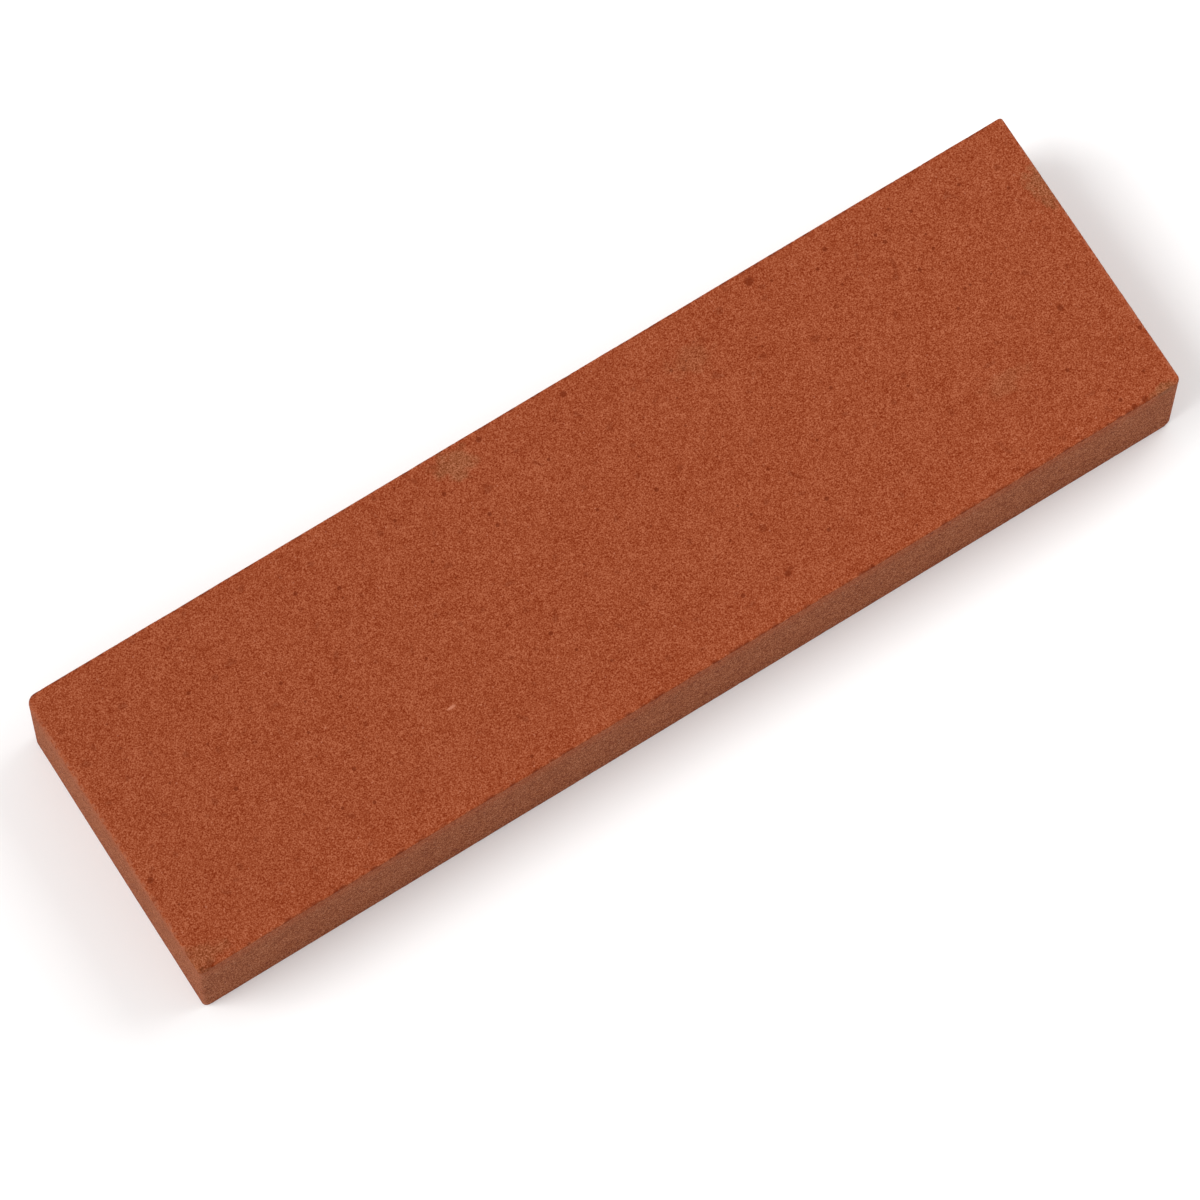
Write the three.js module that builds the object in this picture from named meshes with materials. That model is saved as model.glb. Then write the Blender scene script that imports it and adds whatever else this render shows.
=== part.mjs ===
import * as THREE from 'three';

// A small bench bar of bonded abrasive ceramic: one pressed and fired block, with no other pieces.
// Frame: origin at the middle of the underside, +X along the bar, +Y across it, +Z up. Millimetres.

// Driving dimensions
const LENGTH = 78.5;
const WIDTH = 22.6;
const THICKNESS = 9.2;
const ARRIS = 0.15; // the worn break along the edges of the two broad faces

// Radii of the four upright edges, which the mould and handling have rounded by different amounts
const RADIUS_RIGHT_BACK = 0.25;
const RADIUS_LEFT_BACK = 0.75;
const RADIUS_LEFT_FRONT = 0.3;
const RADIUS_RIGHT_FRONT = 0.45;
const ARC_STEPS = 6; // straight steps in each rounded edge

/** The bar seen from above: a rectangle with a quarter arc of its own radius at each corner. */
function plan() {
  const right = LENGTH / 2;
  const back = WIDTH / 2;
  const quarter = Math.PI / 2;
  const corners = [
    { x: right, y: back, r: RADIUS_RIGHT_BACK, turn: 0 },
    { x: -right, y: back, r: RADIUS_LEFT_BACK, turn: 1 },
    { x: -right, y: -back, r: RADIUS_LEFT_FRONT, turn: 2 },
    { x: right, y: -back, r: RADIUS_RIGHT_FRONT, turn: 3 },
  ];
  const outline = new THREE.Shape();
  for (const { x, y, r, turn } of corners) {
    const centreX = x - Math.sign(x) * r;
    const centreY = y - Math.sign(y) * r;
    outline.absarc(centreX, centreY, r, turn * quarter, (turn + 1) * quarter, false);
  }
  outline.closePath();
  return outline;
}

/** The solid block: the plan raised by the thickness, with its top and bottom edges broken. */
function barGeometry() {
  const geometry = new THREE.ExtrudeGeometry(plan(), {
    depth: THICKNESS - 2 * ARRIS,
    curveSegments: ARC_STEPS,
    bevelEnabled: true,
    bevelThickness: ARRIS,
    bevelSize: ARRIS,
    bevelOffset: -ARRIS,
    bevelSegments: 2,
  });
  geometry.translate(0, 0, ARRIS);
  return geometry;
}

const firedClay = new THREE.MeshStandardMaterial({ color: 0xa0502f, roughness: 0.95, metalness: 0 });

const bar = new THREE.Mesh(barGeometry(), firedClay);
bar.name = 'abrasive_bar';

const part = new THREE.Group();
part.add(bar);

export default part;
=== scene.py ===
import math

import bpy
import numpy as np
from mathutils import Matrix, Vector


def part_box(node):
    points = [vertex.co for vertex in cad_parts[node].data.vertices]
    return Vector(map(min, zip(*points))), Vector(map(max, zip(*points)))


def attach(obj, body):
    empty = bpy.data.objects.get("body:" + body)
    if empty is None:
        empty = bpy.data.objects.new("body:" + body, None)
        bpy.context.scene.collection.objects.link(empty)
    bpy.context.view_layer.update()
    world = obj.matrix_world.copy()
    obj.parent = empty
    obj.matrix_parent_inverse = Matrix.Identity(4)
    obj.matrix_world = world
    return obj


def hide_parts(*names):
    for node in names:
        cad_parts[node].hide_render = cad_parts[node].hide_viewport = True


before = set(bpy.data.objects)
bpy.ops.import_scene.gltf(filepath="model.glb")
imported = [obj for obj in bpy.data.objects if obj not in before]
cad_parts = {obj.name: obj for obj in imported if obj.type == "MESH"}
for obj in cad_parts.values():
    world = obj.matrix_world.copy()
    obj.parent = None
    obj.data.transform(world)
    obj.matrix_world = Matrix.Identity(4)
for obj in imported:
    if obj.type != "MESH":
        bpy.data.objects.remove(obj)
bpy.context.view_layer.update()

# ---------------------------------------------------------------------------------------------
# Camera
# A long lens on a tripod looks steeply down at the bar from its front left, tilted a little.
# The bar's length runs up to the right in the frame, and white floor fills the rest.
MM = 0.001  # metres in a millimetre
CAMERA_PLACE = Vector((-89.4, -135.0, 534.1)) * MM
CAMERA_AIM = Vector((-1.17, -1.12, 0.0)) * MM
CAMERA_ROLL = math.radians(1.22)
LENS_MM = 243.1
SENSOR_MM = 36.0

lens = bpy.data.cameras.new("camera")
lens.lens = LENS_MM
lens.sensor_width = SENSOR_MM
lens.clip_start = 10 * MM
lens.clip_end = 20000 * MM
camera = bpy.data.objects.new("camera", lens)
bpy.context.scene.collection.objects.link(camera)
looking = (CAMERA_AIM - CAMERA_PLACE).to_track_quat("-Z", "Y").to_matrix().to_4x4()
camera.matrix_world = Matrix.Translation(CAMERA_PLACE) @ looking @ Matrix.Rotation(CAMERA_ROLL, 4, "Z")
bpy.context.scene.camera = camera

# ---------------------------------------------------------------------------------------------
# The bar
# One block of abrasive grain in a clay bond, pressed in a steel mould, fired, and rubbed flat.
# Grains have broken out along its edges, so each edge is a rough little band and not a line.
low, high = (np.array(corner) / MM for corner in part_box("abrasive_bar"))
MIDDLE_X, MIDDLE_Y = (low[:2] + high[:2]) / 2
HALF_LENGTH, HALF_WIDTH = (high[:2] - low[:2]) / 2
THICKNESS = high[2] - low[2]
BOTTOM = low[2]

# The radii of the upright edges, and how many grid steps go round each and along each straight run.
UPRIGHT_RADII = {"right_back": 0.25, "left_back": 0.75, "left_front": 0.3, "right_front": 0.45}
ARC_STEPS = 8
LENGTH_STEPS = 560
HALF_END_STEPS = 80


def plan_outline():
    """The bar's outline seen from above, as two arrays of x and y in millimetres from its middle.
    It starts halfway up the right end and goes round by the back, the left end and the front:
    straight runs of even steps, joined by quarter circles of each corner's own radius."""
    corners = [
        (1, 1, UPRIGHT_RADII["right_back"]),
        (-1, 1, UPRIGHT_RADII["left_back"]),
        (-1, -1, UPRIGHT_RADII["left_front"]),
        (1, -1, UPRIGHT_RADII["right_front"]),
    ]
    pieces = []
    for turn, (side_x, side_y, radius) in enumerate(corners):
        angle = (turn + np.linspace(0, 1, ARC_STEPS + 1)) * np.pi / 2
        centre = np.array([side_x * (HALF_LENGTH - radius), side_y * (HALF_WIDTH - radius)])
        pieces.append(centre + radius * np.stack([np.cos(angle), np.sin(angle)], axis=1))

    def run(start, stop, steps):
        return start + (stop - start) * np.linspace(0, 1, steps + 1)[1:-1, None]

    right_middle, left_middle = np.array([HALF_LENGTH, 0.0]), np.array([-HALF_LENGTH, 0.0])
    right_back, left_back, left_front, right_front = pieces
    loop = [
        right_middle[None],
        run(right_middle, right_back[0], HALF_END_STEPS), right_back,
        run(right_back[-1], left_back[0], LENGTH_STEPS), left_back,
        run(left_back[-1], left_middle, HALF_END_STEPS),
        left_middle[None],
        run(left_middle, left_front[0], HALF_END_STEPS), left_front,
        run(left_front[-1], right_front[0], LENGTH_STEPS), right_front,
        run(right_front[-1], right_middle, HALF_END_STEPS),
    ]
    return np.concatenate(loop).T


def hash01(cells, seed):
    """A repeatable random number from 0 to 1 for each row of whole numbers: the fraction left
    after a sine of the row's weighted sum is multiplied by a large number."""
    return np.modf(np.sin(cells @ np.array([12.9898, 78.233, 37.719]) + seed * 4.137) * 43758.5453)[0] % 1


def smooth_noise(points, seed):
    """Noise from 0 to 1: random numbers at the corners of a unit lattice, blended inside each cell
    by a smoothstep along each axis."""
    cells = np.floor(points)
    blend = points - cells
    blend = blend * blend * (3 - 2 * blend)
    total = np.zeros(len(points))
    for corner in np.ndindex(2, 2, 2):
        weight = np.where(corner, blend, 1 - blend).prod(axis=1)
        total += weight * hash01(cells + corner, seed)
    return total


def lost_grains(points, size, share, seed):
    """How deep each point lies inside a grain that has broken out, in millimetres. Round grains sit
    one to a cell of a lattice, each off centre and with its own radius, and a share of them is lost."""
    home = np.floor(points / size)
    depth = np.zeros(len(points))
    for step in np.ndindex(3, 3, 3):
        cells = home + np.array(step) - 1
        shift = np.stack([hash01(cells, seed + axis) for axis in (1, 2, 3)], axis=1)
        radius = size * (0.35 + 0.4 * hash01(cells, seed + 4))
        inside = radius - np.linalg.norm(points - (cells + shift) * size, axis=1)
        depth = np.maximum(depth, np.where(hash01(cells, seed + 5) < share, inside, 0))
    return depth


# Wear, in millimetres: the least radius of the broad faces' edges, how much more they reach here and
# there and over what distance, and the rubbed left end's extra.
EDGE_RADIUS = 0.07
EDGE_RADIUS_MORE = 0.06
EDGE_WANDER = 2.3
LEFT_END_WEAR = 0.12

# The grid's rings: steps round the worn edge, and close rings on each side of it as far as this
# many millimetres away. RING_BOW is how far the innermost ring's ends are bowed out, as a share.
EDGE_RINGS = 6
FINE_RINGS = 6
FINE_REACH = 0.55
RING_BOW = 0.03


def half_profile():
    """Rings from the broad face's middle to halfway down the side. Returns four arrays: inset and
    depth where the edge is sharp, and what each gains for every millimetre of edge radius. Round the
    edge the ring follows a quarter circle: inset is radius * (1 - sin), depth is radius * (1 - cos)."""
    across = np.array([HALF_WIDTH - 0.4, 8.5, 6.0, 4.0, 2.6, 1.7, 1.15, 0.8])
    near = np.linspace(1, 0, FINE_RINGS, endpoint=False)
    angle = np.linspace(0, np.pi / 2, EDGE_RINGS + 1)
    down = np.array([0.8, 1.2, 1.8, 2.8, THICKNESS / 2])
    above = np.zeros(len(across) + FINE_RINGS)
    on_edge = np.zeros(EDGE_RINGS + 1)
    below = np.zeros(FINE_RINGS + len(down))
    inset = np.concatenate([across, FINE_REACH * near, on_edge, below])
    inset_gain = np.concatenate([np.zeros(len(across)), 1 - near, 1 - np.sin(angle), below])
    depth = np.concatenate([above, on_edge, FINE_REACH * near[::-1], down])
    depth_gain = np.concatenate([above, 1 - np.cos(angle), 1 - near[::-1], np.zeros(len(down))])
    return inset, inset_gain, depth, depth_gain


def bar_surface():
    """The bar's skin as a grid of points round the block's middle: one row for each ring from the
    middle of the top, over the edge, down the side and under to the middle of the underside, and one
    column for each step round the outline. Each ring is the outline shrunk in x and in y by its inset
    and set at its depth, with an edge radius that wanders from place to place. Rings near the middle
    are bowed out at their ends by a parabola of y, so that the last one closes cleanly."""
    x, y = plan_outline()
    inset, inset_gain, depth, depth_gain = half_profile()
    around = np.stack([x, y, np.zeros_like(x)], axis=1)
    halves = []
    for level, seed in ((1, 11), (-1, 23)):
        worn = EDGE_RADIUS + EDGE_RADIUS_MORE * smooth_noise(around / EDGE_WANDER + seed, seed) ** 2
        worn = worn + LEFT_END_WEAR * np.clip((-x - HALF_LENGTH + 0.6) / 0.5, 0, 1)
        inward = inset[:, None] + inset_gain[:, None] * worn
        down = depth[:, None] + depth_gain[:, None] * worn
        bow = RING_BOW * (inward / HALF_WIDTH) ** 2 * (1 - (y / HALF_WIDTH) ** 2)
        ring_x = x * (1 - inward / HALF_LENGTH + bow)
        ring = [ring_x, y * (1 - inward / HALF_WIDTH), level * (THICKNESS / 2 - down)]
        halves.append(np.stack(ring, axis=2))
    return np.concatenate([halves[0], halves[1][-2::-1]])


grid = bar_surface()
rows, columns = grid.shape[:2]
points = grid.reshape(-1, 3)

# How far each point lies from the sharp edges: along the bar, and across or up its ends. A band
# along them counts as edge, most strongly at the edge itself.
EDGE_BAND = 0.19
half_size = np.array([HALF_LENGTH, HALF_WIDTH, THICKNESS / 2])
from_faces = half_size - np.abs(points)
to_long_edge = np.hypot(from_faces[:, 1], from_faces[:, 2])
to_short_edge = np.hypot(from_faces[:, 0], np.minimum(from_faces[:, 1], from_faces[:, 2]))
long_edge = np.exp(-((to_long_edge / EDGE_BAND) ** 2))
short_edge = np.exp(-((to_short_edge / EDGE_BAND) ** 2))
any_edge = np.maximum(long_edge, short_edge)

# Outwards is away from the nearest point of a slightly smaller block inside.
CORE_DEPTH = 0.6
core = half_size - CORE_DEPTH
outward = points - np.clip(points, -core, core)
outward = outward / np.linalg.norm(outward, axis=1, keepdims=True)

# Grains have broken out along the edges, one by one and in clumps, most of all along the front of
# the top. What is left stands as a rough scar, so only a share of each grain's depth is missing.
MISSING_SHARE = 0.7
front_top = long_edge * (points[:, 1] < 0) * (points[:, 2] > 0)
single = lost_grains(points, size=0.2, share=0.4, seed=40) * (0.25 * any_edge + 0.75 * front_top)
clump = lost_grains(points, size=0.45, share=0.35, seed=60) * (0.4 * any_edge + 0.6 * front_top)
patchy = smooth_noise(points / 1.3, 8) ** 2
broken = np.maximum(single, 0.6 * patchy * clump)

# A flake has left the front left corner of the top, and the two front corners underneath are
# knocked round. Each knock has its corner, how far in from there its centre is, its reach and depth.
KNOCKS = (
    ((-1, -1, 1), (0.55, -0.05, -0.12), 0.42, 0.14),
    ((-1, -1, -1), (-0.1, -0.1, -0.1), 0.5, 0.25),
    ((1, -1, -1), (-0.15, -0.15, -0.15), 0.75, 0.35),
)
for corner, in_from_corner, reach, deepest in KNOCKS:
    centre = np.array(corner) * (half_size - np.array(in_from_corner))
    broken = np.maximum(broken, np.clip(reach - np.linalg.norm(points - centre, axis=1), 0, deepest))

# The mould's walls were not quite true, which is felt in the 3 mm next to them.
UNTRUE = 0.02
UNTRUE_SPAN = 9.0
near_wall = np.clip(1 - np.minimum(from_faces[:, 0], from_faces[:, 1]) / 3, 0, 1)
untrue = UNTRUE * smooth_noise(points / UNTRUE_SPAN, 3) * near_wall
points = points - outward * (MISSING_SHARE * broken + untrue)[:, None]
points = points + np.array([MIDDLE_X, MIDDLE_Y, BOTTOM + THICKNESS / 2])

# Quads join neighbouring rings all the way round, and a strip closes each broad face.
ring_index = np.arange(rows * columns).reshape(rows, columns)
beyond = np.roll(ring_index, -1, axis=1)
walls = np.stack([ring_index[:-1], ring_index[1:], beyond[1:], beyond[:-1]], axis=2).reshape(-1, 4)


def closing_strip(ring):
    """Faces across a broad face between the back half of its innermost ring and the front half:
    the point k steps after the start is joined to the point k steps before it, and a triangle
    closes each end."""
    half = len(ring) // 2
    k = np.arange(1, half - 1)
    quads = np.stack([ring[k], ring[k + 1], ring[-k - 1], ring[-k]], axis=1)
    return quads.tolist() + [[ring[0], ring[1], ring[-1]], [ring[half], ring[half + 1], ring[half - 1]]]


top_strip = closing_strip(ring_index[0])
under_strip = [face[::-1] for face in closing_strip(ring_index[-1])]
skin = bpy.data.meshes.new("fired_bar")
skin.from_pydata((points * MM).tolist(), [], walls.tolist() + top_strip + under_strip)
skin.polygons.foreach_set("use_smooth", np.ones(len(skin.polygons), bool))

# What the finish needs to know at each point. A scar this deep counts as wholly broken.
WHOLLY_BROKEN = 0.08
marks = {
    "long_edge": long_edge,
    "short_edge": short_edge,
    "side_wall": 1 - np.abs(outward[:, 2]),
    "broken": np.clip(broken / WHOLLY_BROKEN, 0, 1),
}
for name, values in marks.items():
    skin.attributes.new(name, "FLOAT", "POINT").data.foreach_set("value", values.astype(np.float32))
skin.update()

# The finish of that skin. This class and the functions after it add the material's nodes.


class Value:
    """A number that varies over a surface: it wraps a shader socket, and arithmetic on it adds the
    Math nodes that work the result out."""

    tree = None

    def __init__(self, socket):
        self.socket = socket

    def also(self, output):
        """Another output of the node that this value comes from."""
        return Value(self.socket.node.outputs[output])

    @classmethod
    def node(cls, kind, output=0, settings=None, **inputs):
        """Adds a node of this kind, sets its settings, then fills its sockets with numbers, colours
        or links. Sockets are named by their words, or by in0, in1 where names repeat."""
        node = cls.tree.nodes.new(kind)
        for name, setting in (settings or {}).items():
            if name == "stops":
                elements = node.color_ramp.elements
                while len(elements) < len(setting):
                    elements.new(0.5)
                for element, (position, colour) in zip(elements, setting):
                    element.position = position
                    element.color = colour
            else:
                setattr(node, name, setting)
        for name, given in inputs.items():
            key = int(name[2:]) if name.startswith("in") and name[2:].isdigit() else name.replace("_", " ")
            socket = node.inputs[key]
            if isinstance(given, Value):
                cls.tree.links.new(given.socket, socket)
            else:
                socket.default_value = given
        return None if output is None else cls(node.outputs[output])

    def maths(self, operation, *others):
        inputs = {f"in{number}": value for number, value in enumerate((self, *others))}
        return Value.node("ShaderNodeMath", settings={"operation": operation}, **inputs)

    def __add__(self, other):
        return self.maths("ADD", other)

    def __sub__(self, other):
        return self.maths("SUBTRACT", other)

    def __mul__(self, other):
        return self.maths("MULTIPLY", other)

    def __truediv__(self, other):
        return self.maths("DIVIDE", other)

    def __pow__(self, other):
        return self.maths("POWER", other)

    def __rsub__(self, other):
        return Value.node("ShaderNodeMath", settings={"operation": "SUBTRACT"}, in0=other, in1=self)

    __radd__ = __add__
    __rmul__ = __mul__

    def clipped(self):
        """The value held between 0 and 1."""
        return Value.node("ShaderNodeClamp", Value=self)

    def most(self, other):
        """The larger of this value and another."""
        return self.maths("MAXIMUM", other)


fired = bpy.data.materials.new("fired_abrasive")
fired.use_nodes = True
Value.tree = fired.node_tree
fired.node_tree.nodes.clear()


def linear(red, green, blue):
    """A colour as the eye reads it, from 0 to 255, turned into the light it stands for."""
    parts = np.array([red, green, blue]) / 255
    return (*np.where(parts > 0.04045, ((parts + 0.055) / 1.055) ** 2.4, parts / 12.92).tolist(), 1.0)


place = Value.node("ShaderNodeVectorMath", settings={"operation": "SCALE"}, Scale=1 / MM,
                   in0=Value.node("ShaderNodeTexCoord", output="Object"))


def cloud(size, detail=0.0):
    """Soft blotches of about this size in millimetres, from -1 to 1 round a mean of 0. The noise
    is turned, by its own angles for each size, so that its lattice isn't seen on the flat faces."""
    turned = Value.node("ShaderNodeVectorRotate", settings={"rotation_type": "EULER_XYZ"}, Vector=place,
                        Rotation=(0.9, 0.5 + size, 0.3 - size))
    return (Value.node("ShaderNodeTexNoise", Vector=turned, Scale=1 / size, Detail=detail) - 0.5) * 2


def mixed(share, colour, other):
    """A colour that goes over to another by a share from 0 to 1."""
    settings = {"data_type": "RGBA"}
    return Value.node("ShaderNodeMix", output=2, settings=settings, in0=share, in6=colour, in7=other)


def marked(name):
    """One of the numbers that the bar's mesh carries at each of its points."""
    return Value.node("ShaderNodeAttribute", output="Fac", settings={"attribute_name": name})


def ramp(share, *colours):
    """A colour that runs evenly through these as the share goes from 0 to 1."""
    stops = list(zip(np.linspace(0, 1, len(colours)), colours))
    return Value.node("ShaderNodeValToRGB", output="Color", settings={"stops": stops}, Fac=share)


def specks(spacing, least, most, share):
    """Round specks, one at most in each cell of this spacing in millimetres: 1 inside, 0 outside.
    Each has its own radius between least and most, and only a share of the cells has one. The
    cell's random colour gives both: red the radius, and green whether there is a speck."""
    away = Value.node("ShaderNodeTexVoronoi", output="Distance", Vector=place, Scale=1 / spacing)
    red = Value.node("ShaderNodeSeparateColor", output="Red", Color=away.also("Color"))
    radius = red * (most - least) + least
    present = red.also("Green").maths("LESS_THAN", share)
    soft_rim = 0.35 * least
    return ((radius - away * spacing) / soft_rim + 0.5).clipped() * present


def spot(x, y, wide, deep=None, ragged=0.0):
    """A spot on the top face, centred x and y millimetres from the bar's middle: 1 at its heart and
    0 at its rim, an ellipse of these two radii with its rim pushed in and out by noise."""
    centre = (MIDDLE_X + x, MIDDLE_Y + y, BOTTOM + THICKNESS)
    away = Value.node("ShaderNodeVectorMath", settings={"operation": "SUBTRACT"}, in0=place, in1=centre)
    scale = (1 / wide, 1 / (deep or wide), 1 / wide)
    away = Value.node("ShaderNodeVectorMath", settings={"operation": "MULTIPLY"}, in0=away, in1=scale)
    reach = Value.node("ShaderNodeVectorMath", output="Value", settings={"operation": "LENGTH"}, in0=away)
    if ragged:
        reach = reach + cloud(0.45 * wide, 2.0) * ragged
    return (1 - reach).clipped()


# Grain seen as tone, from 0 dark to 1 pale: blotches of 5 mm down to single grains, as pairs of
# size in millimetres and strength.
GRAIN = (
    (5.2, 0.035), (2.6, 0.065), (1.3, 0.11), (0.65, 0.17), (0.33, 0.2), (0.17, 0.47), (0.09, 1.7),
)
tone = 0.5
for size, strength in GRAIN:
    tone = cloud(size) * (0.5 * strength) + tone
tone = tone.clipped()

# The ground broad faces are brick red. The mould-pressed sides keep a thinner, tan, dusty skin, and their
# paler ramp is also painted sheen: the whitish light a rough face gives back when seen at a glancing
# angle.
ground = ramp(tone, linear(116, 37, 4), linear(143, 66, 35), linear(170, 96, 65))
pressed_skin_and_sheen = ramp(tone, linear(96, 28, 0), linear(140, 73, 38), linear(184, 117, 82))
side_wall = marked("side_wall")
colour = mixed((side_wall * 3 - 0.6).clipped(), ground, pressed_skin_and_sheen)

# The upper part of the sides is painted lighter and redder, fading out downwards: painted light, for the
# stronger light that falls near the top edge. Single pale and dark grains show through the sides' skin.
LIT_UPPER_SIDE = linear(168, 76, 38)
PALE_SIDE_GRAIN = linear(168, 116, 90)
DARK_SIDE_GRAIN = linear(94, 42, 20)
LIT_BAND_REACH = 2.6  # how far down the painted light reaches, in millimetres
height_up = Value.node("ShaderNodeSeparateXYZ", output="Z", Vector=place)
painted_top_light = ((height_up - (BOTTOM + THICKNESS - LIT_BAND_REACH)) / LIT_BAND_REACH).clipped() ** 2 * side_wall
colour = mixed(painted_top_light * 0.5, colour, LIT_UPPER_SIDE)
pale_grains = specks(spacing=0.5, least=0.05, most=0.1, share=0.5)
dark_grains = specks(spacing=0.61, least=0.05, most=0.1, share=0.5)
colour = mixed(pale_grains * side_wall * 0.5, colour, PALE_SIDE_GRAIN)
colour = mixed(dark_grains * side_wall * 0.45, colour, DARK_SIDE_GRAIN)

# Edges: along the bar the broken grains show dark and red, and painted shade for the chips' hollows
# darkens that band further. Across the ends the edges are painted pale: partly rubbed wear, partly painted
# light where the ends face the lamps.
BREAK_AND_SHADE = linear(108, 40, 14)
RUBBED_AND_LIT = linear(158, 94, 68)
crumbled_and_shaded = (marked("broken") * 0.8 + cloud(0.55) * 2.6).clipped()
colour = mixed(marked("long_edge") * crumbled_and_shaded * 0.85, colour, BREAK_AND_SHADE)
# Painted light with rubbed wear: the edges across the ends turn pale.
colour = mixed(marked("short_edge") * (cloud(0.25) * 1.6 + 0.45).clipped(), colour, RUBBED_AND_LIT)

# Pits where grains were pulled out, and pale grains that catch the light, all over.
PIT = linear(106, 33, 2)
PALE_GRAIN = linear(200, 130, 102)
ragged_pits = (cloud(0.7) * 5 - 2.3).clipped() * 0.5
pits = specks(spacing=0.95, least=0.06, most=0.16, share=0.3).most(ragged_pits)
pale = specks(spacing=0.7, least=0.04, most=0.07, share=0.5)

# The larger pits that this bar has, by place on the top face, each with its radius. The last four
# lie along the front edge, near its ends.
LARGER_PITS = (
    (18.1, 10.4, 0.4), (3.0, 10.3, 0.28), (-3.6, 10.6, 0.26), (35.1, -2.5, 0.28), (9.1, -8.6, 0.28),
    (-38.6, -4.0, 0.26), (-19.9, 7.9, 0.2), (36.4, -11.1, 0.3), (35.5, -11.15, 0.26),
    (-38.2, -11.0, 0.34), (-38.9, -11.1, 0.22),
)
for x, y, wide in LARGER_PITS:
    pits = pits.most((spot(x, y, wide, ragged=0.3) * 2.5).clipped())
colour = mixed(pits * 0.75, colour, PIT)
colour = mixed(pale * 0.4, colour, PALE_GRAIN)

# One short pale scratch, and faint olive stains that keep the grain, each with its place, its two
# radii and its strength. The last is the front right corner, where the red has worn away.
scratch = (spot(-15.2, -4.5, 0.42, 0.13, ragged=0.3) * 2).clipped()
colour = mixed(scratch * 0.65, colour, PALE_GRAIN)
stained = ramp(tone, linear(98, 50, 20), linear(134, 80, 48), linear(170, 110, 80))
STAINS = (
    (-5.9, 10.0, 1.8, 1.3, 0.6), (11.7, 7.8, 2.0, 1.3, 0.25), (38.9, 5.6, 1.3, 2.4, 0.6),
    (29.2, -5.0, 2.0, 1.0, 0.25), (-38.6, -10.3, 2.0, 1.2, 0.4), (38.2, -11.1, 1.7, 0.55, 0.7),
)
for x, y, wide, deep, strength in STAINS:
    stain = (spot(x, y, wide, deep, ragged=0.9) * 1.8).clipped()
    colour = mixed(stain * strength, colour, stained)

# Relief in millimetres, too fine for the mesh: the grain stands up, and pits and breaks lie lower.
height = cloud(0.33) * 0.002 + cloud(0.17) * 0.003 + cloud(0.09) * 0.002
height = height - pits * 0.008 - marked("broken") * 0.03
relief = Value.node("ShaderNodeBump", Height=height, Distance=MM, Strength=1.0)
roughness = 0.94 - tone * 0.12
shader = Value.node("ShaderNodeBsdfPrincipled", Base_Color=colour, Roughness=roughness, Normal=relief,
                    Specular_IOR_Level=0.12)
Value.node("ShaderNodeOutputMaterial", output=None, Surface=shader)
skin.materials.append(fired)

bar = bpy.data.objects.new("fired_bar", skin)
bpy.context.scene.collection.objects.link(bar)
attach(bar, "root")
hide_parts("abrasive_bar")

# ---------------------------------------------------------------------------------------------
# Floor and light
# A sheet of white paper under the bar, a white room all round, and two large soft lamps: one high
# on the left and one nearer, over the right end.
FLOOR_HALF = 1500
PAPER_WHITE = (0.95, 0.95, 0.95, 1.0)
ROOM_LIGHT = 0.53

sheet_corners = np.array([(-1, -1, 0), (1, -1, 0), (1, 1, 0), (-1, 1, 0)]) * FLOOR_HALF * MM
sheet = bpy.data.meshes.new("floor")
sheet.from_pydata(sheet_corners.tolist(), [], [(0, 1, 2, 3)])
floor = bpy.data.objects.new("floor", sheet)
bpy.context.scene.collection.objects.link(floor)
paper = bpy.data.materials.new("white_paper")
paper.use_nodes = True
paper_shader = paper.node_tree.nodes["Principled BSDF"]
paper_shader.inputs["Base Color"].default_value = PAPER_WHITE
paper_shader.inputs["Roughness"].default_value = 0.9
sheet.materials.append(paper)

room = bpy.data.worlds.new("white_room")
room.use_nodes = True
room.node_tree.nodes["Background"].inputs["Color"].default_value = (1, 1, 1, 1)
room.node_tree.nodes["Background"].inputs["Strength"].default_value = ROOM_LIGHT
bpy.context.scene.world = room


def softbox(name, stands_at, side, brightness):
    """A square lamp that faces the bar. Brightness is the light it gives a white sheet that faces it
    at the bar, where 1 shows as white: its watts are brightness * pi squared * distance squared."""
    light = bpy.data.lights.new(name, "AREA")
    light.size = side * MM
    stand = Vector(stands_at) * MM
    light.energy = brightness * (math.pi * stand.length) ** 2
    lamp = bpy.data.objects.new(name, light)
    lamp.matrix_world = Matrix.Translation(stand) @ (-stand).to_track_quat("-Z", "Y").to_matrix().to_4x4()
    bpy.context.scene.collection.objects.link(lamp)


softbox("left_softbox", (-1400, 300, 1800), 1400, 0.66)
softbox("right_softbox", (180, -10, 240), 200, 0.36)
bpy.context.scene.view_settings.view_transform = "Standard"
